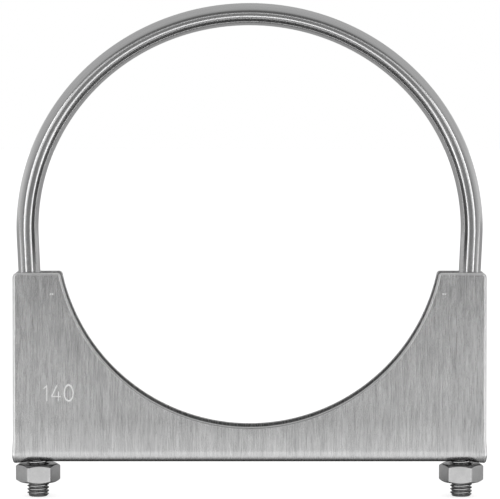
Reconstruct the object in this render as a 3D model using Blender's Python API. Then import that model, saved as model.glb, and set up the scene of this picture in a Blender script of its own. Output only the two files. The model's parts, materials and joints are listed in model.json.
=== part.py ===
"""A saddle clamp for a large pipe: a bent round-rod U-bolt, a folded sheet saddle and two hex nuts.

The origin is the centre of the pipe that the clamp holds, midway through the saddle's depth.
+Z points to the top of the arch, +X to the right-hand leg and -Y to the saddle's stamped front.
All lengths are in metres.
"""

import math

import bmesh
import bpy
from mathutils import Matrix

# The pipe, and the room the arch leaves round it before the nuts are tightened.
PIPE_DIAMETER = 0.1397
ARCH_SIDE_ROOM = 0.0068
ARCH_TOP_ROOM = 0.0056
ARCH_CENTRE_HEIGHT = 0.0020

# The rod of the U-bolt. Each threaded end stands inside the widest part of the arch by LEG_INSET.
ROD_DIAMETER = 0.008
LEG_INSET = 0.00345
LEG_BEND_RADIUS = 0.060
LEG_END_CHAMFER = 0.0008
THREAD_LENGTH = 0.0185
STRAIGHT_PAST_THREAD = 0.001

# The thread: coarse pitch, flanks at 30 degrees to the square section of the rod, flat crests.
THREAD_PITCH = 0.00125
THREAD_DEPTH = 0.00061
THREAD_CREST = 0.00020
FLANK_ANGLE = math.radians(30.0)
THREAD_RADIAL_GAP = 0.00012
THREAD_FLANK_GAP = 0.00012

# The saddle: one sheet folded to a channel, with the pipe's seat cut through both walls.
SHEET = 0.002
CHANNEL_SIDE_GAP = 0.0003
FOLD_INSIDE_RADIUS = 0.0022
SADDLE_TOP_DROP = 0.01375
FLOOR_UNDER_PIPE = 0.0130
SADDLE_END_MARGIN = 0.0007
SADDLE_FLARE = 0.00095
OUTER_CORNER_RADIUS = 0.0017
INNER_CORNER_RADIUS = 0.0013
LEG_HOLE_CLEARANCE = 0.0008

# The nuts: plain hexagon, chamfered on both faces, backed off a little from the saddle.
NUT_ACROSS_FLATS = 0.01429
NUT_HEIGHT = 0.0066
NUT_FACE_SHARE = 0.94
NUT_CHAMFER_ANGLE = math.radians(30.0)
NUT_MOUTH_CHAMFER = 0.0005
NUT_TO_SADDLE_GAP = 0.0010
THREAD_PAST_NUT = 0.0053

# How finely the round shapes are divided. A thread's facets start FACET_OFFSET of a side round from +X.
ROD_SIDES = 16
ARCH_STEPS = 32
LEG_BEND_STEPS = 2
FOLD_STEPS = 6
SEAT_STEPS = 40
CORNER_STEPS = 5
HOLE_SIDES = 32
FACET_OFFSET = 0.15
SMOOTH_ANGLE = math.radians(30.0)
NUT_ROUND_SIDES = 36
CUT_PAST = 0.001

# Sizes that follow from the ones above.
PIPE_RADIUS = PIPE_DIAMETER / 2
ROD_RADIUS = ROD_DIAMETER / 2
ARCH_HALF_WIDTH = PIPE_RADIUS + ARCH_SIDE_ROOM + ROD_RADIUS
ARCH_HALF_HEIGHT = PIPE_RADIUS + ARCH_TOP_ROOM + ROD_RADIUS - ARCH_CENTRE_HEIGHT
LEG_X = ARCH_HALF_WIDTH - LEG_INSET
SADDLE_TOP_Z = -SADDLE_TOP_DROP
SADDLE_BOTTOM_Z = -PIPE_RADIUS - FLOOR_UNDER_PIPE
SADDLE_TOP_HALF_WIDTH = ARCH_HALF_WIDTH + ROD_RADIUS + SADDLE_END_MARGIN
SADDLE_BOTTOM_HALF_WIDTH = SADDLE_TOP_HALF_WIDTH + SADDLE_FLARE
CHANNEL_HALF_GAP = ROD_RADIUS + CHANNEL_SIDE_GAP
CHANNEL_HALF_DEPTH = CHANNEL_HALF_GAP + SHEET
NUT_CORNER_RADIUS = NUT_ACROSS_FLATS / math.sqrt(3)
NUT_TOP_Z = SADDLE_BOTTOM_Z - NUT_TO_SADDLE_GAP
NUT_BOTTOM_Z = NUT_TOP_Z - NUT_HEIGHT
LEG_END_Z = NUT_BOTTOM_Z - THREAD_PAST_NUT
THREAD_TOP_Z = LEG_END_Z + THREAD_LENGTH
THREAD_ROOT = THREAD_PITCH - THREAD_CREST - 2 * THREAD_DEPTH * math.tan(FLANK_ANGLE)


def clear_scene():
    for obj in list(bpy.data.objects):
        bpy.data.objects.remove(obj)


def new_collection(name):
    collection = bpy.data.collections.new(name)
    bpy.context.scene.collection.children.link(collection)
    return collection


def steel(name, colour, roughness):
    material = bpy.data.materials.new(name)
    material.use_nodes = True
    shader = material.node_tree.nodes["Principled BSDF"]
    shader.inputs["Base Color"].default_value = (*colour, 1.0)
    shader.inputs["Roughness"].default_value = roughness
    shader.inputs["Metallic"].default_value = 1.0
    return material


def add_mesh(name, mesh, collection):
    mesh.name = name
    obj = bpy.data.objects.new(name, mesh)
    collection.objects.link(obj)
    return obj


def mesh_from(bm):
    bmesh.ops.recalc_face_normals(bm, faces=bm.faces)
    mesh = bpy.data.meshes.new("shape")
    bm.to_mesh(mesh)
    bm.free()
    return mesh


def as_cutter(obj):
    obj.hide_render = True
    obj.display_type = "WIRE"
    return obj


def combine(obj, other, operation):
    """Cuts OTHER from OBJ, or keeps what they share, with the exact solver."""
    modifier = obj.modifiers.new(other.name, "BOOLEAN")
    modifier.operation = operation
    modifier.object = other


def smooth(obj):
    obj.data.shade_smooth()
    obj.data.set_sharp_from_angle(angle=SMOOTH_ANGLE)


def mesh_of_curve(curve, matrix):
    """The welded mesh of a curve, which is then removed, turned by MATRIX into the part's frame."""
    temporary = bpy.data.objects.new("temporary", curve)
    bpy.context.scene.collection.objects.link(temporary)
    graph = bpy.context.evaluated_depsgraph_get()
    mesh = bpy.data.meshes.new_from_object(temporary.evaluated_get(graph))
    bpy.data.objects.remove(temporary)
    bm = bmesh.new()
    bm.from_mesh(mesh)
    bpy.data.meshes.remove(mesh)
    bmesh.ops.remove_doubles(bm, verts=bm.verts, dist=1e-6)
    bmesh.ops.transform(bm, matrix=matrix, verts=bm.verts)
    return mesh_from(bm)


def prism(outline, half_length, matrix):
    """A flat outline in its own XY plane, thickened by HALF_LENGTH both ways along its Z."""
    curve = bpy.data.curves.new("outline", "CURVE")
    curve.dimensions = "2D"
    curve.fill_mode = "BOTH"
    curve.extrude = half_length
    spline = curve.splines.new("POLY")
    spline.points.add(len(outline) - 1)
    for point, (x, y) in zip(spline.points, outline):
        point.co = (x, y, 0.0, 1.0)
    spline.use_cyclic_u = True
    return mesh_of_curve(curve, matrix)


def arc(centre, radius, start, end, steps):
    """Points on an arc, from angle START to END in degrees, both ends included."""
    angles = [math.radians(start + (end - start) * i / steps) for i in range(steps + 1)]
    return [(centre[0] + radius * math.cos(a), centre[1] + radius * math.sin(a)) for a in angles]


def leg_tangent():
    """Where the leaning leg meets the arch, as the arch's own angle, and how far the leg leans.

    The leg's straight line runs from the bend above the thread and touches the arch's ellipse.
    """
    bend_z = THREAD_TOP_Z + STRAIGHT_PAST_THREAD
    across = LEG_X / ARCH_HALF_WIDTH
    down = (bend_z - ARCH_CENTRE_HEIGHT) / ARCH_HALF_HEIGHT
    angle = math.atan2(down, across) + math.acos(1.0 / math.hypot(across, down))
    top_x = ARCH_HALF_WIDTH * math.cos(angle)
    top_z = ARCH_CENTRE_HEIGHT + ARCH_HALF_HEIGHT * math.sin(angle)
    lean = math.atan2(top_x - LEG_X, top_z - bend_z)
    return angle, lean, bend_z


def rod_centreline():
    """(x, z, thickness) along the rod, from the left leg's end over the arch to the right one's."""
    angle, lean, bend_z = leg_tangent()
    half_bend = LEG_BEND_RADIUS * math.tan(lean / 2)
    tip = 1.0 - LEG_END_CHAMFER / ROD_RADIUS
    right = [(LEG_X, LEG_END_Z, tip), (LEG_X, LEG_END_Z + LEG_END_CHAMFER, 1.0)]
    bend_centre = (LEG_X + LEG_BEND_RADIUS, bend_z - half_bend)
    for x, z in arc(bend_centre, LEG_BEND_RADIUS, 180.0, 180.0 - math.degrees(lean), LEG_BEND_STEPS):
        right.append((x, z, 1.0))
    for i in range(ARCH_STEPS // 2):
        turn = angle + (math.pi / 2 - angle) * i / (ARCH_STEPS // 2)
        z = ARCH_CENTRE_HEIGHT + ARCH_HALF_HEIGHT * math.sin(turn)
        right.append((ARCH_HALF_WIDTH * math.cos(turn), z, 1.0))
    left = [(-x, z, thickness) for x, z, thickness in right]
    crown = [(0.0, ARCH_CENTRE_HEIGHT + ARCH_HALF_HEIGHT, 1.0)]
    return left + crown + right[::-1]


def thread_sweep(section, start_z, top_z):
    """A closed right-handed helical bar, its SECTION given as (radius, height), from START_Z past TOP_Z.

    It begins a little way round from +X, so that its facets' edges never lie on the rod's own.
    """
    turns = math.ceil((top_z - start_z) / THREAD_PITCH)
    turned_by = math.tau / ROD_SIDES * FACET_OFFSET
    across, along = math.cos(turned_by), math.sin(turned_by)
    first_z = start_z + THREAD_PITCH * turned_by / math.tau
    bm = bmesh.new()
    corners = [bm.verts.new((r * across, r * along, first_z + height)) for r, height in section]
    face = bm.faces.new(corners)
    bmesh.ops.spin(
        bm,
        geom=[face, *face.edges, *face.verts],
        cent=(0.0, 0.0, 0.0),
        axis=(0.0, 0.0, 1.0),
        dvec=(0.0, 0.0, THREAD_PITCH / ROD_SIDES),
        angle=math.tau * turns,
        steps=ROD_SIDES * turns,
    )
    return mesh_from(bm)


def leg_groove():
    """The cutter for a leg's thread. Past the rod's surface its sides run square, clear of the next turn."""
    half_root = THREAD_ROOT / 2
    past = THREAD_CREST / 4
    half_mouth = half_root + (THREAD_DEPTH + past) * math.tan(FLANK_ANGLE)
    outside = ROD_RADIUS + THREAD_PITCH / 4
    section = [
        (ROD_RADIUS - THREAD_DEPTH, -half_root),
        (ROD_RADIUS + past, -half_mouth),
        (outside, -half_mouth),
        (outside, half_mouth),
        (ROD_RADIUS + past, half_mouth),
        (ROD_RADIUS - THREAD_DEPTH, half_root),
    ]
    return thread_sweep(section, groove_start_z(), THREAD_TOP_Z)


def groove_start_z():
    """Height of the leg's groove where it crosses the leg's +X side, one turn below the leg's end."""
    return LEG_END_Z - THREAD_PITCH


def nut_groove():
    """The cutter for a nut's thread: room for the leg's ridge, half a pitch up from the leg's groove."""
    slope = math.tan(FLANK_ANGLE)
    crest_radius = ROD_RADIUS - THREAD_DEPTH + THREAD_RADIAL_GAP
    root_radius = ROD_RADIUS + THREAD_RADIAL_GAP
    half_root = THREAD_CREST / 2 - THREAD_RADIAL_GAP * slope + THREAD_FLANK_GAP
    half_crest = half_root + THREAD_DEPTH * slope
    inside = crest_radius - THREAD_PITCH / 4
    section = [
        (root_radius, half_root),
        (crest_radius, half_crest),
        (inside, half_crest),
        (inside, -half_crest),
        (crest_radius, -half_crest),
        (root_radius, -half_root),
    ]
    first_ridge = groove_start_z() + THREAD_PITCH / 2
    turns_up = math.floor((NUT_BOTTOM_Z - 2 * THREAD_PITCH - first_ridge) / THREAD_PITCH)
    start = first_ridge + turns_up * THREAD_PITCH
    return thread_sweep(section, start, NUT_TOP_Z + 2 * THREAD_PITCH)


def make_u_bolt(parts, cutters, material):
    curve = bpy.data.curves.new("rod", "CURVE")
    curve.dimensions = "3D"
    curve.bevel_depth = ROD_RADIUS
    curve.bevel_resolution = ROD_SIDES // 2 - 2
    curve.use_fill_caps = True
    route = rod_centreline()
    spline = curve.splines.new("POLY")
    spline.points.add(len(route) - 1)
    for point, (x, z, thickness) in zip(spline.points, route):
        point.co = (x, 0.0, z, 1.0)
        point.radius = thickness
    rod = add_mesh("u_bolt", mesh_of_curve(curve, Matrix()), parts)
    rod.data.materials.append(material)
    groove = leg_groove()
    for side, x in (("left", -LEG_X), ("right", LEG_X)):
        cutter = as_cutter(add_mesh(f"{side}_leg_thread", groove, cutters))
        cutter.location.x = x
        combine(rod, cutter, "DIFFERENCE")
    smooth(rod)
    return rod


def channel_profile():
    """The folded sheet end-on, as (y, z): up the outside of one wall, round the fold and back inside."""
    top = SADDLE_TOP_Z + CUT_PAST
    fold_y = CHANNEL_HALF_GAP - FOLD_INSIDE_RADIUS
    fold_z = SADDLE_BOTTOM_Z + SHEET + FOLD_INSIDE_RADIUS
    outside = FOLD_INSIDE_RADIUS + SHEET
    outer = [(-CHANNEL_HALF_DEPTH, top)]
    outer += arc((-fold_y, fold_z), outside, 180.0, 270.0, FOLD_STEPS)
    outer += arc((fold_y, fold_z), outside, 270.0, 360.0, FOLD_STEPS)
    outer += [(CHANNEL_HALF_DEPTH, top), (CHANNEL_HALF_GAP, top)]
    inner = arc((fold_y, fold_z), FOLD_INSIDE_RADIUS, 360.0, 270.0, FOLD_STEPS)
    inner += arc((-fold_y, fold_z), FOLD_INSIDE_RADIUS, 270.0, 180.0, FOLD_STEPS)
    return outer + inner + [(-CHANNEL_HALF_GAP, top)]


def saddle_outline():
    """The saddle from the front, as (x, z): flared sides, rounded top corners and the pipe's seat."""
    low = SADDLE_BOTTOM_Z - CUT_PAST
    slope = SADDLE_FLARE / (SADDLE_TOP_Z - SADDLE_BOTTOM_Z)
    low_x = SADDLE_BOTTOM_HALF_WIDTH + CUT_PAST * slope
    lean = math.degrees(math.atan(slope))
    corner_z = SADDLE_TOP_Z - OUTER_CORNER_RADIUS
    corner_x = SADDLE_TOP_HALF_WIDTH - OUTER_CORNER_RADIUS
    fillet_z = SADDLE_TOP_Z - INNER_CORNER_RADIUS
    fillet_x = math.sqrt((PIPE_RADIUS + INNER_CORNER_RADIUS) ** 2 - fillet_z**2)
    seat_edge = math.degrees(math.atan2(fillet_z, fillet_x))
    right = [(low_x, low)]
    right += arc((corner_x, corner_z), OUTER_CORNER_RADIUS, lean, 90.0, CORNER_STEPS)
    right += arc((fillet_x, fillet_z), INNER_CORNER_RADIUS, 90.0, 180.0 + seat_edge, CORNER_STEPS)
    seat = arc((0.0, 0.0), PIPE_RADIUS, seat_edge, -180.0 - seat_edge, SEAT_STEPS)
    left = [(-x, z) for x, z in reversed(right)]
    return right + seat[1:-1] + left


def make_saddle(parts, cutters, material):
    length = SADDLE_BOTTOM_HALF_WIDTH + CUT_PAST
    along_x = Matrix(((0, 0, 1, 0), (1, 0, 0, 0), (0, 1, 0, 0), (0, 0, 0, 1)))
    through_y = Matrix(((1, 0, 0, 0), (0, 0, -1, 0), (0, 1, 0, 0), (0, 0, 0, 1)))
    saddle = add_mesh("saddle", prism(channel_profile(), length, along_x), parts)
    saddle.data.materials.append(material)
    depth = CHANNEL_HALF_DEPTH + CUT_PAST
    outline = add_mesh("saddle_outline", prism(saddle_outline(), depth, through_y), cutters)
    combine(saddle, as_cutter(outline), "INTERSECT")
    for side, x in (("left", -LEG_X), ("right", LEG_X)):
        combine(saddle, leg_hole(f"{side}_leg_hole", x, cutters), "DIFFERENCE")
    smooth(saddle)
    return saddle


def leg_hole(name, x, cutters):
    """The cutter for one leg's hole: through the floor, and into the folds on both sides of it."""
    bottom = SADDLE_BOTTOM_Z - CUT_PAST
    top = SADDLE_BOTTOM_Z + SHEET + FOLD_INSIDE_RADIUS
    radius = ROD_RADIUS + LEG_HOLE_CLEARANCE
    cutter = as_cutter(add_mesh(name, cylinder(radius, bottom, top, HOLE_SIDES), cutters))
    cutter.location.x = x
    return cutter


def cylinder(radius, bottom, top, sides):
    bm = bmesh.new()
    bmesh.ops.create_cone(
        bm, cap_ends=True, segments=sides, radius1=radius, radius2=radius, depth=top - bottom
    )
    bmesh.ops.translate(bm, vec=(0.0, 0.0, (top + bottom) / 2), verts=bm.verts)
    return mesh_from(bm)


def turned(profile, sides, offset=0.0):
    """A closed solid turned about Z, from a PROFILE of (radius, height) that starts and ends on the axis.

    OFFSET is how far round from +X its first edge stands, as a share of one side.
    """
    turned_by = math.tau / sides * offset
    across, along = math.cos(turned_by), math.sin(turned_by)
    bm = bmesh.new()
    points = [bm.verts.new((r * across, r * along, height)) for r, height in profile]
    edges = [bm.edges.new(pair) for pair in zip(points, points[1:])]
    bmesh.ops.spin(
        bm,
        geom=[*points, *edges],
        cent=(0.0, 0.0, 0.0),
        axis=(0.0, 0.0, 1.0),
        angle=math.tau,
        steps=sides,
        use_merge=True,
    )
    bmesh.ops.remove_doubles(bm, verts=bm.verts, dist=1e-6)
    return mesh_from(bm)


def nut_blank_limits():
    """The turned shape that gives the hexagon its two faces and chamfers its corners on both."""
    face = NUT_ACROSS_FLATS / 2 * NUT_FACE_SHARE
    rim = NUT_CORNER_RADIUS + CUT_PAST
    drop = (rim - face) * math.tan(NUT_CHAMFER_ANGLE)
    return [
        (0.0, NUT_BOTTOM_Z),
        (face, NUT_BOTTOM_Z),
        (rim, NUT_BOTTOM_Z + drop),
        (rim, NUT_TOP_Z - drop),
        (face, NUT_TOP_Z),
        (0.0, NUT_TOP_Z),
    ]


def nut_bore():
    """The turned hole in a nut, opening out to just past the thread at both faces."""
    bore = ROD_RADIUS - THREAD_DEPTH + THREAD_RADIAL_GAP
    mouth = ROD_RADIUS + THREAD_RADIAL_GAP + NUT_MOUTH_CHAMFER
    rise = mouth - bore
    return [
        (0.0, NUT_BOTTOM_Z - CUT_PAST),
        (mouth + CUT_PAST, NUT_BOTTOM_Z - CUT_PAST),
        (bore, NUT_BOTTOM_Z + rise),
        (bore, NUT_TOP_Z - rise),
        (mouth + CUT_PAST, NUT_TOP_Z + CUT_PAST),
        (0.0, NUT_TOP_Z + CUT_PAST),
    ]


def make_nuts(parts, cutters, material, saddle):
    """Both nuts, each with a flat to the front. They travel with the saddle and turn on the legs."""
    hexagon = cylinder(NUT_CORNER_RADIUS, NUT_BOTTOM_Z - CUT_PAST, NUT_TOP_Z + CUT_PAST, 6)
    hexagon.transform(Matrix.Rotation(math.radians(30.0), 4, "Z"))
    limits = turned(nut_blank_limits(), NUT_ROUND_SIDES, FACET_OFFSET)
    bore = turned(nut_bore(), ROD_SIDES)
    groove = nut_groove()
    for side, x in (("left", -LEG_X), ("right", LEG_X)):
        nut = add_mesh(f"nut_{side}", hexagon.copy(), parts)
        nut.data.materials.append(material)
        nut.location.x = x
        nut.parent = saddle
        shapes = (("limits", limits, "INTERSECT"), ("bore", bore, "DIFFERENCE"))
        for what, mesh, operation in (*shapes, ("thread", groove, "DIFFERENCE")):
            cutter = as_cutter(add_mesh(f"nut_{side}_{what}", mesh, cutters))
            cutter.location.x = x
            combine(nut, cutter, operation)
        smooth(nut)


def main():
    clear_scene()
    parts = new_collection("u_bolt_clamp")
    cutters = new_collection("cutters")
    rod_steel = steel("bright_rod", (0.66, 0.66, 0.67), 0.22)
    sheet_steel = steel("brushed_sheet", (0.58, 0.58, 0.58), 0.42)
    nut_steel = steel("plated_nut", (0.60, 0.60, 0.61), 0.36)
    make_u_bolt(parts, cutters, rod_steel)
    saddle = make_saddle(parts, cutters, sheet_steel)
    make_nuts(parts, cutters, nut_steel, saddle)


main()
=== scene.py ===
# %% [markdown]
# # A saddle clamp for a large pipe
#
# Four pieces of steel: a round rod bent to an arch and threaded at both ends, a saddle folded from
# one sheet, and two hexagon nuts. The measured model is loaded first and stays as it is. This
# script builds a finer version of each piece in the same place, gives it its finish, and lights it.

# %% Load the frame
import json
import math

import bmesh
import bpy
from mathutils import Matrix, Vector


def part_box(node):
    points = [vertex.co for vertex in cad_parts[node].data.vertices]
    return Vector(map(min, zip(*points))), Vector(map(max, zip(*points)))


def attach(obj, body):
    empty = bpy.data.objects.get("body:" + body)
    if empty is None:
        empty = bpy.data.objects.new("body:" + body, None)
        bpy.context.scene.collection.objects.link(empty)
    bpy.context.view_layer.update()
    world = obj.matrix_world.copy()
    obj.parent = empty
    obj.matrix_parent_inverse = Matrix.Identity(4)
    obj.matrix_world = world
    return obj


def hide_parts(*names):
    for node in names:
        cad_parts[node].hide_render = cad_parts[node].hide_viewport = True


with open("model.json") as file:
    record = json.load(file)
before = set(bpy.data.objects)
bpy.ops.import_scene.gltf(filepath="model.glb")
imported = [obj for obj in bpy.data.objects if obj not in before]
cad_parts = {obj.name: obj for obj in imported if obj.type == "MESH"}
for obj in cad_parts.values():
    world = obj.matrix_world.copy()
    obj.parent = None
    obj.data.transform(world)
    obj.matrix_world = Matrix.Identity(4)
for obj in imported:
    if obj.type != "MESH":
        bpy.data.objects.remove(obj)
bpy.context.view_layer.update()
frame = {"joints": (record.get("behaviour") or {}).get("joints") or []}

# %% [markdown]
# ## Sizes
#
# Outside sizes come from the boxes of the measured pieces and the nuts' axes from their joints, so
# a change to the measured model carries through. Only what a box can't tell is written down here:
# the rod, its thread, the sheet and the folds. All lengths are in metres.

# %% Sizes of the pieces
PIPE_RADIUS = 0.06985
ROD_RADIUS = 0.004
ARCH_CENTRE_HEIGHT = 0.0020
THREAD_LENGTH = 0.0185
THREAD_PITCH = 0.00125
THREAD_DEPTH = 0.00061
THREAD_CREST = 0.00020
THREAD_GAP = 0.00012
SHEET = 0.002
FOLD_RADIUS = 0.0042

axes = {joint["name"]: Vector(joint["pos_m"]) for joint in frame["joints"] if "pos_m" in joint}
LEG_X = axes["nut_right_spin"].x
rod_low, rod_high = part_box("u_bolt")
ARCH_HALF_WIDTH = rod_high.x - ROD_RADIUS
ARCH_HALF_HEIGHT = rod_high.z - ROD_RADIUS - ARCH_CENTRE_HEIGHT
LEG_END_Z = rod_low.z
THREAD_TOP_Z = LEG_END_Z + THREAD_LENGTH
print(f"arch {2000 * ARCH_HALF_WIDTH:.1f} mm across on its centreline, legs {2000 * LEG_X:.1f} mm apart")

# %% [markdown]
# ## Small helpers
#
# Every piece is made in a bmesh, which is Blender's editable mesh. These helpers turn one into an
# object, cut one object with another, and keep only the result, so that no cutter is left over.
# A cutter can carry a material slot of its own, and the Boolean hands that slot to each face it
# cuts. So a thread or a punched hole gets its own finish without any face being picked by hand.

# %% From a bmesh to an object
def to_object(name, bm):
    bmesh.ops.recalc_face_normals(bm, faces=bm.faces)
    mesh = bpy.data.meshes.new(name)
    bm.to_mesh(mesh)
    bm.free()
    obj = bpy.data.objects.new(name, mesh)
    bpy.context.scene.collection.objects.link(obj)
    return obj


def settle(obj):
    """Turns an object's modifiers into plain mesh."""
    graph = bpy.context.evaluated_depsgraph_get()
    mesh = bpy.data.meshes.new_from_object(obj.evaluated_get(graph))
    obj.modifiers.clear()
    obj.data = mesh


def cut(obj, *cutters):
    """Cuts OBJ with each cutter by the exact solver, then removes the cutters."""
    for cutter in cutters:
        modifier = obj.modifiers.new("cut", "BOOLEAN")
        modifier.operation = "DIFFERENCE"
        modifier.object = cutter
    settle(obj)
    for cutter in cutters:
        bpy.data.objects.remove(cutter)


def empty_slots(obj, count):
    """Room for COUNT materials, which are filled in once the finishes are made."""
    for _ in range(count):
        obj.data.materials.append(None)


def in_slot(obj, slot):
    """Puts every face of a cutter in one material slot."""
    empty_slots(obj, slot + 1)
    for polygon in obj.data.polygons:
        polygon.material_index = slot
    return obj


def smooth(obj, degrees):
    """Smooth shading up to an angle, with broad faces keeping their own direction."""
    obj.data.shade_smooth()
    obj.data.set_sharp_from_angle(angle=math.radians(degrees))
    even = obj.modifiers.new("even_shading", "WEIGHTED_NORMAL")
    even.keep_sharp = True
    print(f"{obj.name}: {len(obj.data.polygons)} faces")


# %% [markdown]
# ## The rod of the U-bolt
#
# The real one is drawn round bar, bent cold over a former. Its arch is a little flatter than a
# circle and its legs lean in to the threads. A bevelled curve would make the tube, but here one
# circle is extruded along the route, because each ring then keeps its number and its distance
# along the bar. Those make the map that the drawing lines of the finish follow.

# %% The route of the bar
LEG_BEND_RADIUS = 0.060
END_CHAMFER = 0.0008
BEND_Z = THREAD_TOP_Z + 0.001
ARCH_STEPS = 96


def arch_touch():
    """The arch's angle where the straight leg touches it, and how far the leg leans."""
    across = LEG_X / ARCH_HALF_WIDTH
    down = (BEND_Z - ARCH_CENTRE_HEIGHT) / ARCH_HALF_HEIGHT
    angle = math.atan2(down, across) + math.acos(1.0 / math.hypot(across, down))
    rise = ARCH_CENTRE_HEIGHT + ARCH_HALF_HEIGHT * math.sin(angle) - BEND_Z
    return angle, math.atan2(ARCH_HALF_WIDTH * math.cos(angle) - LEG_X, rise)


def leg_stations():
    """(x, z, heading, share of full thickness) up the left leg. A heading is measured from +Z to +X."""
    lean = arch_touch()[1]
    tip = 1.0 - END_CHAMFER / ROD_RADIUS
    stations = [(-LEG_X, LEG_END_Z, 0.0, tip), (-LEG_X, LEG_END_Z + END_CHAMFER, 0.0, 1.0)]
    low = BEND_Z - LEG_BEND_RADIUS * math.tan(lean / 2)
    for step in range(5):
        turn = lean * step / 4
        x = -LEG_X - LEG_BEND_RADIUS * (1.0 - math.cos(turn))
        stations.append((x, low + LEG_BEND_RADIUS * math.sin(turn), -turn, 1.0))
    return stations


def rod_stations():
    touch = arch_touch()[0]
    left = leg_stations()
    over = []
    for step in range(ARCH_STEPS + 1):
        turn = math.pi - touch + (2 * touch - math.pi) * step / ARCH_STEPS
        x = ARCH_HALF_WIDTH * math.cos(turn)
        z = ARCH_CENTRE_HEIGHT + ARCH_HALF_HEIGHT * math.sin(turn)
        heading = math.atan2(ARCH_HALF_WIDTH * math.sin(turn), -ARCH_HALF_HEIGHT * math.cos(turn))
        over.append((x, z, heading, 1.0))
    right = [(-x, z, math.pi - heading, share) for x, z, heading, share in reversed(left)]
    return left + over + right


print(f"leg leans {math.degrees(arch_touch()[1]):.2f} degrees, {len(rod_stations())} stations")

# %% Extrude one circle along the route
ROD_SIDES = 48


def station_matrix(x, z, heading, share):
    turn = Matrix.Rotation(heading, 4, "Y")
    return Matrix.Translation((x, 0.0, z)) @ turn @ Matrix.Diagonal((share, share, 1.0, 1.0))


def extruded_bar():
    bm = bmesh.new()
    side = bm.verts.layers.int.new("side")
    along = bm.verts.layers.float.new("along")
    stations = rod_stations()
    start = bmesh.ops.create_circle(bm, cap_ends=True, segments=ROD_SIDES, radius=ROD_RADIUS)
    for number, vert in enumerate(start["verts"]):
        vert[side] = number
    placed = station_matrix(*stations[0])
    bmesh.ops.transform(bm, matrix=placed, verts=start["verts"])
    rim = list(bm.edges)
    travelled = 0.0
    for before, station in zip(stations, stations[1:]):
        travelled += math.hypot(station[0] - before[0], station[1] - before[1])
        made = bmesh.ops.extrude_edge_only(bm, edges=rim)["geom"]
        ring = [item for item in made if isinstance(item, bmesh.types.BMVert)]
        rim = [item for item in made if isinstance(item, bmesh.types.BMEdge)]
        there = station_matrix(*station)
        bmesh.ops.transform(bm, matrix=there @ placed.inverted(), verts=ring)
        for vert in ring:
            vert[along] = travelled
        placed = there
    bmesh.ops.contextual_create(bm, geom=rim)
    map_round_and_along(bm, side, along)
    print(f"bar is {travelled * 1000:.1f} mm long on its centreline")
    return bm


def map_round_and_along(bm, side, along):
    """U runs once round the bar and V is the distance along it in metres."""
    uv = bm.loops.layers.uv.new("bar")
    for face in bm.faces:
        numbers = [vert[side] for vert in face.verts]
        wraps = max(numbers) - min(numbers) > 1
        for loop in face.loops:
            number = loop.vert[side]
            number = ROD_SIDES if wraps and number == 0 else number
            loop[uv].uv = (number / ROD_SIDES, loop.vert[along])


# %% [markdown]
# ## The threads
#
# A rolled thread is a helical groove of one pitch a turn. Its section is spun round the axis and
# climbs as it turns, which is what the spin operator's dvec does, and the bar of metal that comes
# out is cut from the leg with a Boolean. The groove starts a little way round from the rod's own
# edges, because the exact solver is happiest when no two edges lie on each other. At the top the
# groove is pushed outwards over its last turn, so that it runs out of the metal as a real one does.

# %% Helical cutters
FLANK = math.tan(math.radians(30.0))
THREAD_STEPS = 48
START_OFF_EDGE = 0.15
# The thread's faces take a darker steel, which is painted shade in the grooves.
THREAD_SHADE_SLOT = 1


def helix(name, section, start_z, top_z, run_out=0.0):
    """A right-handed helical bar of SECTION, given as (radius, height), from START_Z past TOP_Z."""
    turns = math.ceil((top_z - start_z) / THREAD_PITCH)
    turned = math.tau / THREAD_STEPS * START_OFF_EDGE
    first_z = start_z + THREAD_PITCH * turned / math.tau
    bm = bmesh.new()
    corners = [bm.verts.new((r * math.cos(turned), r * math.sin(turned), first_z + h)) for r, h in section]
    face = bm.faces.new(corners)
    bmesh.ops.spin(
        bm,
        geom=[face, *face.edges, *face.verts],
        cent=(0.0, 0.0, 0.0),
        axis=(0.0, 0.0, 1.0),
        dvec=(0.0, 0.0, THREAD_PITCH / THREAD_STEPS),
        angle=math.tau * turns,
        steps=THREAD_STEPS * turns,
    )
    if run_out:
        for vert in bm.verts:
            past = max(0.0, vert.co.z - (top_z - THREAD_PITCH)) / THREAD_PITCH
            flat = Vector((vert.co.x, vert.co.y, 0.0))
            vert.co += flat.normalized() * run_out * past
    return to_object(name, bm)


GROOVE_START_Z = LEG_END_Z - THREAD_PITCH


def leg_groove():
    root = (THREAD_PITCH - THREAD_CREST - 2 * THREAD_DEPTH * FLANK) / 2
    past = THREAD_CREST / 4
    mouth = root + (THREAD_DEPTH + past) * FLANK
    deep = ROD_RADIUS - THREAD_DEPTH
    rounding = root * 0.45
    outside = ROD_RADIUS + THREAD_PITCH / 4
    lower = [
        (deep, -root + rounding),
        (deep + rounding, -root - rounding * FLANK),
        (ROD_RADIUS + past, -mouth),
        (outside, -mouth),
    ]
    upper = [(radius, -height) for radius, height in reversed(lower)]
    return helix("leg_groove", lower + upper, GROOVE_START_Z, THREAD_TOP_Z, run_out=THREAD_DEPTH)


# %% Make the U-bolt
bolt = to_object("bent_rod", extruded_bar())
empty_slots(bolt, THREAD_SHADE_SLOT + 1)
grooves = []
for leg_x in (-LEG_X, LEG_X):
    groove = in_slot(leg_groove(), THREAD_SHADE_SLOT)
    groove.data.transform(Matrix.Translation((leg_x, 0.0, 0.0)))
    grooves.append(groove)
cut(bolt, *grooves)
smooth(bolt, 40.0)
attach(bolt, "u_bolt")
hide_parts("u_bolt")

# %% [markdown]
# ## The saddle
#
# The real saddle starts as a flat blank shaped like a butterfly, with a pipe's curve cut from both
# long sides and its corners rounded. It is then folded to a narrow channel. The same order is kept
# here. One outline is drawn flat, where every edge is easy to round, and only then is it bent, by
# moving its points round the two folds. X runs along the blank, Y is the distance across it and Z
# is its thickness, with its outer face at 0.

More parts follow.
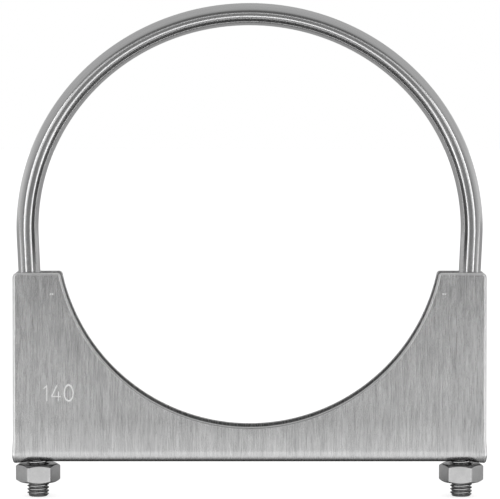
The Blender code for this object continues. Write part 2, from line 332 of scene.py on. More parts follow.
# %% How the blank unrolls
saddle_low, saddle_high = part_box("saddle")
FLOOR_Z = saddle_low.z
SADDLE_TOP_Z = saddle_high.z
HALF_DEPTH = saddle_high.y
END_X = saddle_high.x
FLARE = 0.00095
TOP_X = END_X - FLARE
FLOOR_HALF = HALF_DEPTH - FOLD_RADIUS
FOLD_LENGTH = (FOLD_RADIUS - SHEET / 2) * math.pi / 2
FOLD_END = FLOOR_HALF + FOLD_LENGTH


def unrolled(z):
    """Distance across the blank, from its middle, of a height on a wall."""
    return FOLD_END + z - (FLOOR_Z + FOLD_RADIUS)


print(f"blank {2000 * END_X:.1f} x {2000 * unrolled(SADDLE_TOP_Z):.1f} x {1000 * SHEET:.1f} mm")

# %% [markdown]
# ## The flat blank
#
# The outline is a list of points with the direction that faces outwards at each. The same outline
# is stacked in rings, each a little further in or out, which rolls the edge over on the outer face
# and leaves a small burr on the inner one. Bridges join the rings, and two fills close them. The
# walls of the edge are sheared metal, and the curves beside them are painted bright as a painted
# highlight along the edge, so both get slots of their own.

# %% Make the flat blank
CORNER_RADIUS = 0.0017
SEAT_CORNER_RADIUS = 0.0013
HOLE_RADIUS = ROD_RADIUS + 0.0008
ROLLED_EDGE = 0.00080
BURR_EDGE = 0.00020
SEAT_STEPS = 64
# The struck slot's brighter steel is a painted highlight on the figures and punch marks.
SHEET_SLOT, STRUCK_HIGHLIGHT_SLOT, SHEARED_SLOT, ROLLED_HIGHLIGHT_SLOT = range(4)


def arc(centre, radius, start, end, steps):
    """(point, outward direction) pairs round part of a circle."""
    pairs = []
    for step in range(steps + 1):
        angle = start + (end - start) * step / steps
        outward = Vector((math.cos(angle), math.sin(angle)))
        pairs.append((centre + radius * outward, outward))
    return pairs


def mirrored(pairs, x, y):
    """The pairs in reverse order, with both parts of each flipped where X or Y is -1."""
    return [(Vector((x * p.x, y * p.y)), Vector((x * n.x, y * n.y))) for p, n in reversed(pairs)]


def blank_outline():
    """The blank's edge: a rounded oblong with a bite for the seat in each long side."""
    side, seat_y = unrolled(SADDLE_TOP_Z), unrolled(0.0)
    round_y = side - SEAT_CORNER_RADIUS
    round_x = math.sqrt((PIPE_RADIUS + SEAT_CORNER_RADIUS) ** 2 - (seat_y - round_y) ** 2)
    to_seat = math.atan2(seat_y - round_y, -round_x)
    corner = Vector((TOP_X - CORNER_RADIUS, side - CORNER_RADIUS))
    quarter = arc(corner, CORNER_RADIUS, 0.0, math.pi / 2, 8)
    quarter += arc(Vector((round_x, round_y)), SEAT_CORNER_RADIUS, math.pi / 2, to_seat, 7)
    bite = arc(Vector((0.0, seat_y)), -PIPE_RADIUS, to_seat, math.pi / 2, SEAT_STEPS)
    quarter += bite[1:]
    half = quarter + mirrored(quarter[:-1], -1.0, 1.0)
    return half + mirrored(half, 1.0, -1.0)


def blank_rings():
    """How far in and how high each ring lies, from the outer face round the edge to the inner face."""
    rings = []
    for step in range(7):
        turn = math.radians(15.0 * step)
        rings.append((ROLLED_EDGE * (1 - math.sin(turn)), ROLLED_EDGE * (1 - math.cos(turn))))
    for step in range(4):
        turn = math.radians(30.0 * step)
        rings.append((BURR_EDGE * (1 - math.cos(turn)), SHEET - BURR_EDGE * (1 - math.sin(turn))))
    return rings


# The rolled edge's brighter steel is a painted highlight along the edge.
def edge_slot(face):
    level = abs(face.normal.z)
    if level < 0.35:
        return SHEARED_SLOT
    return ROLLED_HIGHLIGHT_SLOT if level < 0.999 else SHEET_SLOT


def flat_blank():
    bm = bmesh.new()
    outline = blank_outline()
    loops = []
    for inset, height in blank_rings():
        ring = bmesh.ops.create_circle(bm, segments=len(outline), radius=1.0)["verts"]
        for vert, (point, outward) in zip(ring, outline):
            vert.co = (*(point - inset * outward), height)
        loops.append(list({edge for vert in ring for edge in vert.link_edges}))
    for near, far in zip(loops, loops[1:]):
        bmesh.ops.bridge_loops(bm, edges=near + far)
    for loop in (loops[0], loops[-1]):
        bmesh.ops.edgeloop_fill(bm, edges=loop)
    bmesh.ops.recalc_face_normals(bm, faces=bm.faces)
    for face in bm.faces:
        face.material_index = edge_slot(face)
    print(f"blank: {len(outline)} points round, {len(loops)} rings, {len(bm.faces)} faces")
    return to_object("folded_saddle", bm)


saddle = flat_blank()
empty_slots(saddle, ROLLED_HIGHLIGHT_SLOT + 1)

# %% [markdown]
# ## The size stamp and the punch marks
#
# A clamp of this kind carries its pipe size, struck into the front wall with single-stroke
# figures, and a pair of small punch marks near each top corner. Here the figures are a plain 140,
# for a 140 mm pipe. Each stroke is a round bar laid almost clear of the face, so that only a
# shallow groove is cut. The figure 0 is a circle spun to a ring and then squeezed to an oval.

# %% Strike the figures
STROKE = 0.00023
STRIKE_DEPTH = 0.00016


def stroke(bm, start, end):
    """One straight stroke with round ends, on the blank's outer face."""
    start, end = Vector((*start, 0.0)), Vector((*end, 0.0))
    line = end - start
    turn = line.to_track_quat("Z", "Y").to_matrix().to_4x4()
    place = Matrix.Translation((start + end) / 2) @ turn
    bmesh.ops.create_cone(
        bm, cap_ends=True, segments=16, radius1=STROKE, radius2=STROKE, depth=line.length, matrix=place
    )


def figure_ring(bm, centre, half_width, half_height):
    ring = bmesh.ops.create_circle(bm, segments=16, radius=STROKE)["verts"]
    bmesh.ops.rotate(bm, cent=(0, 0, 0), matrix=Matrix.Rotation(math.pi / 2, 3, "X"), verts=ring)
    bmesh.ops.translate(bm, vec=(half_width, 0.0, 0.0), verts=ring)
    edges = list({edge for vert in ring for edge in vert.link_edges})
    bmesh.ops.spin(
        bm, geom=ring + edges, cent=(0, 0, 0), axis=(0, 0, 1), angle=math.tau, steps=40, use_merge=True
    )
    oval = Matrix.Diagonal((1.0, half_height / half_width, 1.0, 1.0))
    bmesh.ops.transform(bm, matrix=Matrix.Translation((*centre, 0.0)) @ oval, verts=bm.verts)


def struck(name, shape):
    """A cutter made by SHAPE, lying on the outer face of the front wall with only its skin in the metal."""
    bm = bmesh.new()
    shape(bm)
    bmesh.ops.translate(bm, vec=(0.0, 0.0, STRIKE_DEPTH - STROKE), verts=bm.verts)
    return in_slot(to_object(name, bm), STRUCK_HIGHLIGHT_SLOT)


def on_front(x, z):
    """Place on the blank of a point on the front wall."""
    return (x, -unrolled(z))


def struck_line(name, start, end):
    return struck(name, lambda bm: stroke(bm, on_front(*start), on_front(*end)))


FIGURE_TOP, FIGURE_BASE = -0.0545, -0.0603
MIDDLE = (-0.0655, (FIGURE_TOP + FIGURE_BASE) / 2)
figures = [
    struck_line("one_upright", (-0.0734, FIGURE_TOP), (-0.0734, FIGURE_BASE)),
    struck_line("one_flag", (-0.0746, -0.0559), (-0.07335, FIGURE_TOP - 0.0001)),
    struck_line("four_slope", (-0.0697, FIGURE_TOP), (-0.07165, -0.0586)),
    struck_line("four_bar", (-0.0717, -0.05862), (-0.06825, -0.05862)),
    struck_line("four_upright", (-0.0692, -0.0568), (-0.0692, FIGURE_BASE)),
    struck("nought", lambda bm: figure_ring(bm, on_front(*MIDDLE), 0.0016, 0.0029)),
]

PUNCH_RADIUS = 0.00034
PUNCH_DEPTH = 0.00020
PUNCH_Z = -0.0214


def punch_mark(x):
    bm = bmesh.new()
    bmesh.ops.create_uvsphere(bm, u_segments=20, v_segments=12, radius=PUNCH_RADIUS)
    bmesh.ops.translate(bm, vec=(*on_front(x, PUNCH_Z), PUNCH_DEPTH - PUNCH_RADIUS), verts=bm.verts)
    return in_slot(to_object("punch", bm), STRUCK_HIGHLIGHT_SLOT)


marks = [punch_mark(x) for x in (-0.0719, -0.0711, 0.0699, 0.0707)]
for cutter in figures + marks:
    cut(saddle, cutter)
print(f"struck the size and {len(marks)} punch marks: {len(saddle.data.polygons)} faces")

# %% [markdown]
# ## Bending the blank
#
# Rows are cut across the blank where the folds will be, so that they can turn in small steps, and
# columns near the ends, where the metal doesn't keep its even bend. On a real channel the outside
# of the fold is drawn in at each end and the edge beside it bulges and sags. The bend is a plain
# rule: each point keeps its distance along the sheet and its depth in the thickness. The two leg
# holes come last, because a hole cut through a bend clears a straight leg only if it is straight.

# %% Cut the rows and columns
FOLD_STEPS = 18
WALL_STEPS = 5
WALL_STEP = 0.0008
END_STEPS = 13
LOOSE_END = 0.0065


def slice_at(bm, x=None, y=None):
    place, normal = ((x, 0, 0), (1, 0, 0)) if y is None else ((0, y, 0), (0, 1, 0))
    geom = list(bm.verts) + list(bm.edges) + list(bm.faces)
    bmesh.ops.bisect_plane(bm, geom=geom, dist=1e-7, plane_co=place, plane_no=normal)


bm = bmesh.new()
bm.from_mesh(saddle.data)
bmesh.ops.triangulate(bm, faces=[face for face in bm.faces if len(face.verts) > 4])
for step in range(FOLD_STEPS + 1):
    for sign in (-1.0, 1.0):
        slice_at(bm, y=sign * (FLOOR_HALF + FOLD_LENGTH * step / FOLD_STEPS))
for step in range(WALL_STEPS):
    for sign in (-1.0, 1.0):
        slice_at(bm, y=sign * (FOLD_END + WALL_STEP * (step + 1)))
for step in range(END_STEPS + 1):
    for sign in (-1.0, 1.0):
        slice_at(bm, x=sign * (TOP_X - 0.0003 - LOOSE_END * step / END_STEPS))

# %% Fold it
END_TIGHTER = 0.0012
END_DRAWN_IN = 0.00065
END_BULGE = 0.00055
END_SAG = 0.00045
SETTLE_LENGTH = 0.0050
WALL_LENGTH = 0.0045
SIDE_LENGTH = 0.0030


def ease(value):
    value = min(1.0, max(0.0, value))
    return value * value * (3.0 - 2.0 * value)


def folded(co):
    """Where a point of the flat blank goes."""
    x, across, depth = co
    side = math.copysign(1.0, across)
    end = ease((abs(x) - (TOP_X - LOOSE_END)) / LOOSE_END)
    radius = FOLD_RADIUS - END_TIGHTER * end
    flat = HALF_DEPTH - radius
    reach = abs(across)
    if reach <= FLOOR_HALF:
        y, z, turn = reach / FLOOR_HALF * flat, FLOOR_Z + depth, 0.0
    elif reach <= FOLD_END:
        turn = (reach - FLOOR_HALF) / FOLD_LENGTH * math.pi / 2
        y = flat + (radius - depth) * math.sin(turn)
        z = FLOOR_Z + radius - (radius - depth) * math.cos(turn)
    else:
        settled = 1.0 - ease((reach - FOLD_END) / SETTLE_LENGTH)
        y, turn = HALF_DEPTH - depth, math.pi / 2
        z = FLOOR_Z + FOLD_RADIUS + reach - FOLD_END - (FOLD_RADIUS - radius) * settled
    wall = ease((reach - FOLD_END) / WALL_LENGTH)
    hump = math.sin(turn) * (1.0 - wall)
    pinch = END_DRAWN_IN * math.sin(2 * turn) * end
    y -= pinch
    z += pinch * 0.5 - END_SAG * end * (1.0 - wall) * (1.0 - turn / math.pi)
    share = (SADDLE_TOP_Z - max(z, FLOOR_Z)) / (SADDLE_TOP_Z - FLOOR_Z)
    outer = ease((abs(x) - (TOP_X - SIDE_LENGTH)) / SIDE_LENGTH)
    x += math.copysign(outer * (FLARE * share + 0.6 * END_BULGE * (hump - 1.0)), x)
    return Vector((x, y * side, z))


for vert in bm.verts:
    vert.co = folded(vert.co)
bmesh.ops.remove_doubles(bm, verts=bm.verts, dist=5e-7)
bmesh.ops.recalc_face_normals(bm, faces=bm.faces)
bm.to_mesh(saddle.data)
bm.free()


# %% Punch the leg holes
def leg_hole(x):
    """An upright plug that clears the leg through the floor and the bend on both sides of it."""
    bm = bmesh.new()
    bottom, top = FLOOR_Z - SHEET, FLOOR_Z + 0.85 * FOLD_RADIUS
    bmesh.ops.create_cone(
        bm, cap_ends=True, segments=64, radius1=HOLE_RADIUS, radius2=HOLE_RADIUS, depth=top - bottom
    )
    bmesh.ops.rotate(bm, cent=(0, 0, 0), matrix=Matrix.Rotation(0.01, 3, "Z"), verts=bm.verts)
    bmesh.ops.translate(bm, vec=(x, 0.0, (bottom + top) / 2), verts=bm.verts)
    return in_slot(to_object("leg_hole", bm), SHEARED_SLOT)


cut(saddle, leg_hole(-LEG_X), leg_hole(LEG_X))
smooth(saddle, 32.0)
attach(saddle, "saddle")
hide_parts("saddle")

# %% [markdown]
# ## The nuts
#
# A nut starts as a round blank in a lathe or a cold former, so its chamfers are one cone at 30
# degrees, and where that cone meets each flat it leaves a bowed line. Rings are stacked from the
# bore to the rim and back, and each point of a rim ring is set at the hexagon's own radius, so the
# bowed lines come out exactly. The bore is cut to mesh with the leg.

# %% Rings of the nut
NUT_SIDES = 96
FACE_SHARE = 0.94
CHAMFER = math.tan(math.radians(30.0))
nut_low, nut_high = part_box("nut_left")
NUT_CORNER_RADIUS = (nut_high.x - nut_low.x) / 2
NUT_APOTHEM = NUT_CORNER_RADIUS * math.cos(math.pi / 6)
NUT_BOTTOM_Z, NUT_TOP_Z = nut_low.z, nut_high.z
CORNER_SOFTNESS = 0.00012
EDGE_SOFTNESS = 0.00008
MOUTH_CHAMFER = 0.00045


def hexagon_radius(angle):
    """Radius of a hexagon with flats to the front and back, its corners a little rounded."""
    off_corner = (angle + math.pi / 6) % (math.pi / 3) - math.pi / 6
    sharp = NUT_APOTHEM / math.cos(math.pi / 6 - abs(off_corner))
    return min(sharp, NUT_CORNER_RADIUS - CORNER_SOFTNESS)


def chamfer_drop(angle):
    """How far the chamfer's cone has come down where it leaves the rim at this angle."""
    return (hexagon_radius(angle) - NUT_APOTHEM * FACE_SHARE) * CHAMFER


def nut_rings(mouth):
    """(radius, height) of each ring as functions of the angle, from the top mouth to the bottom one."""
    face = NUT_APOTHEM * FACE_SHARE
    return [
        (lambda a: mouth, lambda a: NUT_TOP_Z),
        (lambda a: face, lambda a: NUT_TOP_Z),
        (hexagon_radius, lambda a: NUT_TOP_Z - chamfer_drop(a)),
        (hexagon_radius, lambda a: NUT_BOTTOM_Z + chamfer_drop(a)),
        (lambda a: face, lambda a: NUT_BOTTOM_Z),
        (lambda a: mouth, lambda a: NUT_BOTTOM_Z),
    ]


def rounded(bm, edges, offset, segments):
    bmesh.ops.bevel(
        bm,
        geom=edges,
        offset=offset,
        offset_type="OFFSET",
        affect="EDGES",
        segments=segments,
        profile=0.5,
        material=-1,
        clamp_overlap=True,
    )


def nut_body(name, turn):
    """The nut without its thread, on the Z axis. Its bore runs from mouth to mouth."""
    bm = bmesh.new()
    bore = ROD_RADIUS - THREAD_DEPTH + THREAD_GAP
    mouth = ROD_RADIUS + THREAD_GAP + MOUTH_CHAMFER
    rise = mouth - bore
    rings = nut_rings(mouth)
    rings += [(lambda a: bore, lambda a: NUT_BOTTOM_Z + rise), (lambda a: bore, lambda a: NUT_TOP_Z - rise)]
    loops = []
    for radius_at, height_at in rings:
        ring = bmesh.ops.create_circle(bm, segments=NUT_SIDES, radius=1.0)["verts"]
        for vert in ring:
            angle = math.atan2(vert.co.y, vert.co.x)
            vert.co = (*(vert.co.xy * radius_at(angle)), height_at(angle))
        loops.append(list({edge for vert in ring for edge in vert.link_edges}))
    for near, far in zip(loops, loops[1:] + loops[:1]):
        bmesh.ops.bridge_loops(bm, edges=near + far)
    bmesh.ops.recalc_face_normals(bm, faces=bm.faces)
    sharp = [edge for edge in bm.edges if edge.calc_face_angle(0.0) > math.radians(17.0)]
    rounded(bm, sharp, EDGE_SOFTNESS, 2)
    bmesh.ops.rotate(bm, cent=(0, 0, 0), matrix=Matrix.Rotation(turn, 3, "Z"), verts=bm.verts)
    return to_object(name, bm)


# %% The thread inside a nut
def nut_groove():
    crest = ROD_RADIUS - THREAD_DEPTH + THREAD_GAP
    root = ROD_RADIUS + THREAD_GAP
    half_root = THREAD_CREST / 2 - THREAD_GAP * FLANK + THREAD_GAP
    half_crest = half_root + THREAD_DEPTH * FLANK
    inside = crest - THREAD_PITCH / 4
    upper = [(root, half_root), (crest, half_crest), (inside, half_crest)]
    section = upper + [(radius, -height) for radius, height in reversed(upper)]
    first_ridge = GROOVE_START_Z + THREAD_PITCH / 2
    turns_up = math.floor((NUT_BOTTOM_Z - 2 * THREAD_PITCH - first_ridge) / THREAD_PITCH)
    start = first_ridge + turns_up * THREAD_PITCH
    return helix("nut_groove", section, start, NUT_TOP_Z + 2 * THREAD_PITCH)


# %% Make both nuts
# Neither nut was left square to the saddle: each is turned a few degrees towards the middle.
NUT_TURNS = {"nut_left": math.radians(7.3), "nut_right": math.radians(-7.8)}
# Upper faces, chamfers and bores take a darker steel, which is painted shade.
UPPER_FACE_SHADE_SLOT = 1


def nut_slot(polygon):
    """The upper face, its chamfer and the bore take a darker steel than the flats, as painted shade."""
    in_bore = polygon.center.xy.length < ROD_RADIUS + 0.0004
    return UPPER_FACE_SHADE_SLOT if polygon.normal.z > 0.3 or in_bore else 0


nuts = []
for side, x in (("nut_left", -LEG_X), ("nut_right", LEG_X)):
    nut = nut_body(side + "_hex", NUT_TURNS[side])
    empty_slots(nut, UPPER_FACE_SHADE_SLOT + 1)
    cut(nut, nut_groove())
    for polygon in nut.data.polygons:
        polygon.material_index = nut_slot(polygon)
    nut.data.transform(Matrix.Translation((x, 0.0, 0.0)))
    smooth(nut, 25.0)
    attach(nut, side)
    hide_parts(side)
    nuts.append(nut)

# %% [markdown]
# ## Node helpers
#
# A material is a small graph. These helpers add a node with its settings and join sockets, so that
# each finish below reads as a list of what it is made of.

# %% Add and join nodes
def add_node(tree, kind, **settings):
    node = tree.nodes.new("ShaderNode" + kind)
    for name, value in settings.items():
        if name.startswith("in_"):
            key = name[3:]
            node.inputs[int(key) if key.isdigit() else key.replace("_", " ")].default_value = value
        else:
            setattr(node, name, value)
    return node


def maths(tree, operation, first, second=0.0):
    """A Math node of two values, each a socket or a number."""
    node = add_node(tree, "Math", operation=operation)
    for socket, value in zip(node.inputs, (first, second)):
        if isinstance(value, (int, float)):
            socket.default_value = value
        else:
            tree.links.new(value, socket)
    return node.outputs[0]


def spread(tree, value, low, high):
    """VALUE, which runs about from 0 to 1, moved to run from LOW to HIGH."""
    return maths(tree, "ADD", maths(tree, "MULTIPLY", value, high - low), low)


def blend(tree, first, share, second):
    """SHARE of the first value and the rest of the second."""
    rest = maths(tree, "MULTIPLY", second, 1.0 - share)
    return maths(tree, "ADD", maths(tree, "MULTIPLY", first, share), rest)


def strip(tree, value, low, high):
    """A soft step from 0 at LOW to 1 at HIGH."""
    step = add_node(tree, "MapRange", interpolation_type="SMOOTHSTEP")
    step.inputs["From Min"].default_value = low
    step.inputs["From Max"].default_value = high
    tree.links.new(value, step.inputs["Value"])
    return step.outputs["Result"]


def new_group(name, inputs, outputs):
    group = bpy.data.node_groups.new(name, "ShaderNodeTree")
    for label, kind, value in inputs:
        socket = group.interface.new_socket(name=label, in_out="INPUT", socket_type=kind)
        if value is not None:
            socket.default_value = value
    for label in outputs:
        group.interface.new_socket(name=label, in_out="OUTPUT", socket_type="NodeSocketFloat")
    return group, group.nodes.new("NodeGroupInput"), group.nodes.new("NodeGroupOutput")


# %% [markdown]
# ## Grain, marks and mottle
#
# All four pieces are bare bright steel, but each was made in another way. The sheet has rolling
# grain up and down, the rod has lines along its length from the drawing die, and the nuts are
# tumbled. One group makes a streaky grain from two sizes of noise, squeezed by its Across values,
# and another makes the faint handling marks that every piece has. A third step, the same for all,
# lets the pattern drive the grey and the relief together.

# %% Shared groups
def streaks_group():
    inputs = [("Vector", "NodeSocketVector", None), ("Across", "NodeSocketVector", (1.0, 1.0, 1.0))]
    group, start, end = new_group("streaks", inputs, ["Broad", "Fine"])
    scaled = add_node(group, "VectorMath", operation="MULTIPLY")
    group.links.new(start.outputs["Vector"], scaled.inputs[0])
    group.links.new(start.outputs["Across"], scaled.inputs[1])
    for label, scale, detail in (("Broad", 0.32, 3.0), ("Fine", 1.7, 4.0)):
        noise = add_node(group, "TexNoise", in_Scale=scale, in_Detail=detail, in_Roughness=0.62)
        group.links.new(scaled.outputs[0], noise.inputs["Vector"])
        group.links.new(noise.outputs["Fac"], end.inputs[label])
    return group


def marks_group():
    inputs = [("Vector", "NodeSocketVector", None), ("Size", "NodeSocketFloat", 60.0)]
    group, start, end = new_group("handling_marks", inputs, ["Cloud", "Specks"])
    cloud = add_node(group, "TexNoise", in_Detail=3.0, in_Roughness=0.5, in_Distortion=0.6)
    group.links.new(start.outputs["Vector"], cloud.inputs["Vector"])
    group.links.new(start.outputs["Size"], cloud.inputs["Scale"])
    group.links.new(cloud.outputs["Fac"], end.inputs["Cloud"])
    specks = add_node(group, "TexNoise", in_Detail=2.0, in_Roughness=0.7)
    group.links.new(start.outputs["Vector"], specks.inputs["Vector"])
    size = maths(group, "MULTIPLY", start.outputs["Size"], 22.0)
    group.links.new(size, specks.inputs["Scale"])
    group.links.new(specks.outputs["Fac"], end.inputs["Specks"])
    return group


STREAKS = streaks_group()
MARKS = marks_group()
print("groups:", STREAKS.name, MARKS.name)


# %% A new steel
def grey_mix(tree, factor, dark, light):
    mix = add_node(tree, "Mix", data_type="RGBA", clamp_factor=True)
    tree.links.new(factor, mix.inputs["Factor"])
    mix.inputs["A"].default_value = (*dark, 1.0)
    mix.inputs["B"].default_value = (*light, 1.0)
    return mix.outputs["Result"]


def use_group(tree, group, vector, **values):
    node = add_node(tree, "Group")
    node.node_tree = group
    tree.links.new(vector, node.inputs["Vector"])
    for name, value in values.items():
        node.inputs[name].default_value = value
    return node


def new_steel(name):
    material = bpy.data.materials.new(name)
    material.use_nodes = True
    tree = material.node_tree
    shader = tree.nodes["Principled BSDF"]
    shader.inputs["Metallic"].default_value = 1.0
    return material, tree, shader


PATTERN_LOW = 0.32
PATTERN_GAIN = 2.6


def lay(steel, pattern, greys, roughness, strength, depth):
    """Lets PATTERN set the grey and the relief of a steel, and ROUGHNESS its gloss."""
    material, tree, shader = steel
    contrast = maths(tree, "MULTIPLY", maths(tree, "SUBTRACT", pattern, PATTERN_LOW), PATTERN_GAIN)
    tree.links.new(grey_mix(tree, contrast, *greys), shader.inputs["Base Color"])
    tree.links.new(roughness, shader.inputs["Roughness"])
    relief = add_node(tree, "Bump", in_Strength=strength, in_Distance=depth)
    tree.links.new(pattern, relief.inputs["Height"])
    tree.links.new(relief.outputs["Normal"], shader.inputs["Normal"])
    return material


# %% [markdown]
# ## Sheet steel
#
# The saddle is cold rolled sheet with a satin face. Its grain stands upright on both walls, with
# broad soft streaks a few millimetres apart and fine ones well under a millimetre. Struck figures
# and punch marks are painted bright, as a painted highlight, sheared walls are dark and rough, and
# the rolled edge beside them is painted bright, as a painted highlight along the edge.

# %% The saddle's finish
def sheet_finish(name, greys, smoothest):
    steel = new_steel(name)
    tree = steel[1]
    place = add_node(tree, "TexCoord").outputs["Object"]
    grain = use_group(tree, STREAKS, place, Across=(2300.0, 600.0, 110.0)).outputs
    cloud = use_group(tree, MARKS, place, Size=45.0).outputs["Cloud"]
    pattern = blend(tree, grain["Broad"], 0.32, grain["Fine"])
    clouded = spread(tree, cloud, smoothest, smoothest + 0.08)
    rough = maths(tree, "ADD", clouded, spread(tree, grain["Fine"], 0.0, 0.10))
    return lay(steel, pattern, greys, rough, 0.6, 0.00005)


# %% [markdown]
# ## Rod steel
#
# Bright drawn bar is smoother and mirrors the lights as long bands. Fine lines follow it round the
# bend, so the pattern reads the bar's own map: its angle round becomes a point on a circle, which
# leaves no seam, and its distance along is stretched. The grooves of the thread are painted darker,
# as painted shade in their roots and flanks.

# %% The rod's finish
def rod_finish(name, greys, smoothest):
    steel = new_steel(name)
    tree = steel[1]
    bar = add_node(tree, "SeparateXYZ")
    tree.links.new(add_node(tree, "UVMap", uv_map="bar").outputs["UV"], bar.inputs[0])
    turn = maths(tree, "MULTIPLY", bar.outputs["X"], math.tau)
    point = add_node(tree, "CombineXYZ")
    tree.links.new(maths(tree, "COSINE", turn), point.inputs["X"])
    tree.links.new(maths(tree, "SINE", turn), point.inputs["Y"])
    tree.links.new(bar.outputs["Y"], point.inputs["Z"])
    lines = use_group(tree, STREAKS, point.outputs[0], Across=(9.0, 9.0, 28.0)).outputs
    place = add_node(tree, "TexCoord").outputs["Object"]
    marks = use_group(tree, MARKS, place, Size=120.0).outputs
    pattern = blend(tree, lines["Broad"], 0.4, lines["Fine"])
    clouded = spread(tree, marks["Cloud"], smoothest, smoothest + 0.08)
    rough = maths(tree, "ADD", clouded, spread(tree, marks["Specks"], 0.0, 0.06))
    return lay(steel, pattern, greys, rough, 0.25, 0.00002)


# %% [markdown]
# ## Nut steel
#
# Nuts are cold formed and tumbled in a barrel, which leaves no direction in the surface, only a
# fine even mottle with softer clouds. Their upper faces, chamfers and bores are painted darker than
# the flats, as painted shade.

# %% The nuts' finish
def nut_finish(name, greys, smoothest):
    steel = new_steel(name)
    tree = steel[1]
    place = add_node(tree, "TexCoord").outputs["Object"]
    marks = use_group(tree, MARKS, place, Size=150.0).outputs
    mottle = use_group(tree, STREAKS, place, Across=(1500.0, 1500.0, 1100.0)).outputs
    pattern = blend(tree, marks["Specks"], 0.5, mottle["Broad"])
    clouded = spread(tree, marks["Cloud"], smoothest, smoothest + 0.10)
    rough = maths(tree, "ADD", clouded, spread(tree, mottle["Fine"], 0.0, 0.08))
    return lay(steel, pattern, greys, rough, 0.30, 0.00003)


# %% Put the finishes on
def finish_with(obj, *materials):
    """Gives OBJ its finishes in slot order. Clearing the slots would reset each face's own slot."""
    empty_slots(obj, len(materials) - len(obj.data.materials))
    for slot, material in enumerate(materials):
        obj.data.materials[slot] = material


finish_with(
    saddle,
    sheet_finish("sheet_steel", ((0.42, 0.42, 0.423), (0.80, 0.80, 0.80)), 0.18),
    # Struck figures and punch marks: a brighter steel, as a painted highlight.
    sheet_finish("struck_highlight_steel", ((0.86, 0.86, 0.86), (1.0, 1.0, 1.0)), 0.45),
    sheet_finish("sheared_steel", ((0.16, 0.16, 0.162), (0.36, 0.36, 0.36)), 0.35),
    # Rolled edge: a brighter steel, as a painted highlight along the edge.
    sheet_finish("rolled_edge_highlight_steel", ((0.74, 0.74, 0.742), (1.0, 1.0, 1.0)), 0.22),
)
finish_with(
    bolt,
    rod_finish("rod_steel", ((0.60, 0.60, 0.605), (0.74, 0.74, 0.74)), 0.10),
    # The thread steel's darker grey is painted shade in the grooves.
    rod_finish("thread_painted_shade_steel", ((0.20, 0.20, 0.203), (0.34, 0.34, 0.34)), 0.20),
)
nut_steel = nut_finish("nut_steel", ((0.56, 0.56, 0.565), (0.72, 0.72, 0.715)), 0.24)
# The darker nut steel on the upper faces and bores is painted shade.
nut_face_painted_shade = nut_finish("nut_face_painted_shade", ((0.13, 0.13, 0.132), (0.25, 0.25, 0.25)), 0.20)
for nut in nuts:
    finish_with(nut, nut_steel, nut_face_painted_shade)
print("finishes:", [material.name for material in bpy.data.materials])

# %% [markdown]
# ## The studio
#
# Bright steel has almost no colour of its own, so it looks like the room. Here the room is a world
# whose brightness depends on direction: a dim middle where the camera stands, darker round it and
# a pale backdrop behind. The floor is plain and pale to the eye. In the steel it shows as a painted
# glow on the floor in front of the clamp, standing in for a lit table, with a painted shadow strip
# under it, which gives the fold and the threads their dark lines.

# %% Floor
floor_bm = bmesh.new()
bmesh.ops.create_grid(floor_bm, x_segments=1, y_segments=1, size=1.0)
bmesh.ops.scale(floor_bm, vec=(3.0, 2.2, 1.0), verts=floor_bm.verts)
bmesh.ops.translate(floor_bm, vec=(0.0, 2.0, LEG_END_Z - 0.0001), verts=floor_bm.verts)
floor = to_object("floor", floor_bm)


def floor_finish():
    """Pale to the camera. Other rays see a painted glow on the front part and a painted shadow strip under
    the clamp.
    """
    material = bpy.data.materials.new("pale_floor_painted_glow_and_shadow")
    material.use_nodes = True
    tree = material.node_tree
    shader = tree.nodes["Principled BSDF"]
    shader.inputs["Roughness"].default_value = 0.9
    parts = add_node(tree, "SeparateXYZ")
    tree.links.new(add_node(tree, "TexCoord").outputs["Object"], parts.inputs[0])
    # For rays other than the camera's, the front part glows as a painted glow and the strip under the clamp
    # is a painted shadow.
    front = strip(tree, parts.outputs["Y"], 0.002, -0.016)
    behind = strip(tree, parts.outputs["Y"], 0.012, 0.035)
    beside = strip(tree, maths(tree, "ABSOLUTE", parts.outputs["X"]), 0.090, 0.120)
    seen = add_node(tree, "LightPath").outputs["Is Camera Ray"]
    white = maths(tree, "MULTIPLY", seen, 0.70)
    glow = maths(tree, "MAXIMUM", white, maths(tree, "MULTIPLY", front, 0.64))
    tree.links.new(glow, shader.inputs["Emission Strength"])
    outside_painted_shadow = maths(tree, "ADD", front, maths(tree, "MAXIMUM", behind, beside))
    pale = maths(tree, "MAXIMUM", seen, maths(tree, "MULTIPLY", outside_painted_shadow, 0.9))
    tree.links.new(grey_mix(tree, pale, (0.07, 0.07, 0.07), (0.85, 0.85, 0.85)), shader.inputs["Base Color"])
    shader.inputs["Emission Color"].default_value = (1.0, 1.0, 1.0, 1.0)
    return material


finish_with(floor, floor_finish())

# %% World
# Pairs of how squarely a direction faces the camera's side, from -1 to 1, and its brightness. ROOM
# is for level directions and ABOVE for steep ones.
ROOM = [(-1.0, 0.74), (-0.30, 0.78), (0.20, 0.56), (0.50, 0.42), (0.72, 0.28), (0.90, 0.17), (1.0, 0.24)]
ABOVE = [(-1.0, 0.52), (-0.30, 0.55), (0.50, 0.52), (0.72, 0.40), (0.82, 0.13), (0.92, 0.12), (1.0, 0.36)]


def ramp(tree, factor, stops):
    node = add_node(tree, "ValToRGB")
    node.color_ramp.interpolation = "LINEAR"
    elements = node.color_ramp.elements
    while len(elements) > 1:
        elements.remove(elements[-1])
    for number, (facing, value) in enumerate(stops):
        place = (facing + 1.0) / 2
        element = elements[0] if number == 0 else elements.new(place)
        element.position = place
        element.color = (value / 2, value / 2, value / 2, 1.0)
    tree.links.new(factor, node.inputs["Fac"])
    return node.outputs["Color"]


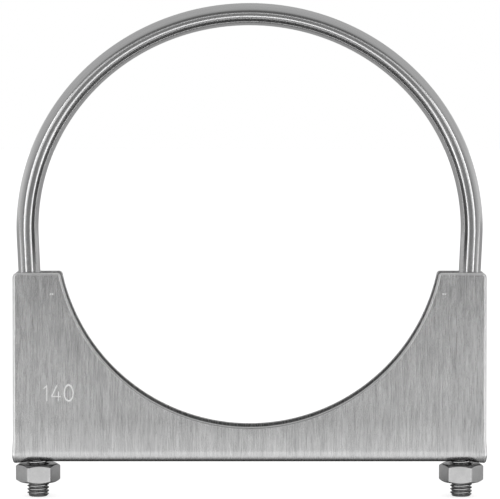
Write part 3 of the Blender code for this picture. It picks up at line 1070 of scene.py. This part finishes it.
def make_world():
    world = bpy.data.worlds.new("studio")
    bpy.context.scene.world = world
    world.use_nodes = True
    tree = world.node_tree
    background = tree.nodes["Background"]
    parts = add_node(tree, "SeparateXYZ")
    tree.links.new(add_node(tree, "TexCoord").outputs["Generated"], parts.inputs[0])
    facing = maths(tree, "ADD", maths(tree, "MULTIPLY", parts.outputs["Y"], -0.5), 0.5)
    room = add_node(tree, "Mix", data_type="RGBA")
    tree.links.new(strip(tree, parts.outputs["Z"], 0.12, 0.42), room.inputs["Factor"])
    tree.links.new(ramp(tree, facing, ROOM), room.inputs["A"])
    tree.links.new(ramp(tree, facing, ABOVE), room.inputs["B"])
    seen = add_node(tree, "Mix", data_type="RGBA")
    tree.links.new(add_node(tree, "LightPath").outputs["Is Camera Ray"], seen.inputs["Factor"])
    tree.links.new(room.outputs["Result"], seen.inputs["A"])
    seen.inputs["B"].default_value = (0.5, 0.5, 0.5, 1.0)
    tree.links.new(seen.outputs["Result"], background.inputs["Color"])
    background.inputs["Strength"].default_value = 2.0
    return world


make_world()

# %% [markdown]
# ## Soft boxes
#
# Four long soft boxes make a frame round the camera, and each shows as one bright line along the
# rod. Two weaker ones inside the frame widen the inner lines.

# %% Soft lights round the camera
FRAME_Y = -0.705


def soft_box(name, x, z, width, height, brightness):
    """An area light facing the clamp. Its power grows with its size, so its face is BRIGHTNESS."""
    data = bpy.data.lights.new(name, "AREA")
    data.shape = "RECTANGLE"
    data.size, data.size_y = width, height
    data.energy = brightness * math.pi * width * height
    lamp = bpy.data.objects.new(name, data)
    bpy.context.scene.collection.objects.link(lamp)
    lamp.location = (x, FRAME_Y, z)
    lamp.rotation_euler = (math.radians(90.0), 0.0, 0.0)


soft_box("left_box", -0.47, 0.0, 0.13, 0.60, 2.2)
soft_box("right_box", 0.47, 0.0, 0.13, 0.60, 2.2)
soft_box("left_inner_box", -0.29, 0.13, 0.12, 0.36, 0.9)
soft_box("right_inner_box", 0.29, 0.13, 0.12, 0.36, 0.9)
soft_box("low_box", 0.0, -0.235, 0.90, 0.13, 1.5)
soft_box("high_box", 0.0, 0.21, 0.90, 0.05, 0.9)

# %% [markdown]
# ## A dark card
#
# A small dark drum on the clamp's axis, out of the camera's sight, puts a dark line along the
# inner side of the rod, which gives the bright metal its depth.

# %% A dark card
card_bm = bmesh.new()
bmesh.ops.create_cone(card_bm, cap_ends=True, segments=32, radius1=0.014, radius2=0.014, depth=0.054)
bmesh.ops.rotate(card_bm, cent=(0, 0, 0), matrix=Matrix.Rotation(math.pi / 2, 3, "X"), verts=card_bm.verts)
bmesh.ops.translate(card_bm, vec=(0.0, -0.041, 0.0), verts=card_bm.verts)
card = to_object("dark_card", card_bm)
card.visible_camera = False
card.visible_shadow = False
card.visible_diffuse = False
dark = bpy.data.materials.new("dark_card")
dark.use_nodes = True
dark.node_tree.nodes["Principled BSDF"].inputs["Base Color"].default_value = (0.03, 0.03, 0.03, 1.0)
finish_with(card, dark)

# %% [markdown]
# ## The camera
#
# A long lens from just under a metre, standing a little above the middle of the clamp and looking
# slightly down, so that the thickness of the seat's far edge and the tops of the nuts just show.

# %% Camera
camera_data = bpy.data.cameras.new("camera")
camera_data.sensor_width = 36.0
camera_data.lens = 190.8864
camera = bpy.data.objects.new("camera", camera_data)
bpy.context.scene.collection.objects.link(camera)
camera.location = (0.00015, -0.9603, 0.05904)
camera.rotation_euler = (math.radians(90.0 - 3.856), 0.0, 0.0)
bpy.context.scene.camera = camera
bpy.context.scene.view_settings.view_transform = "Standard"
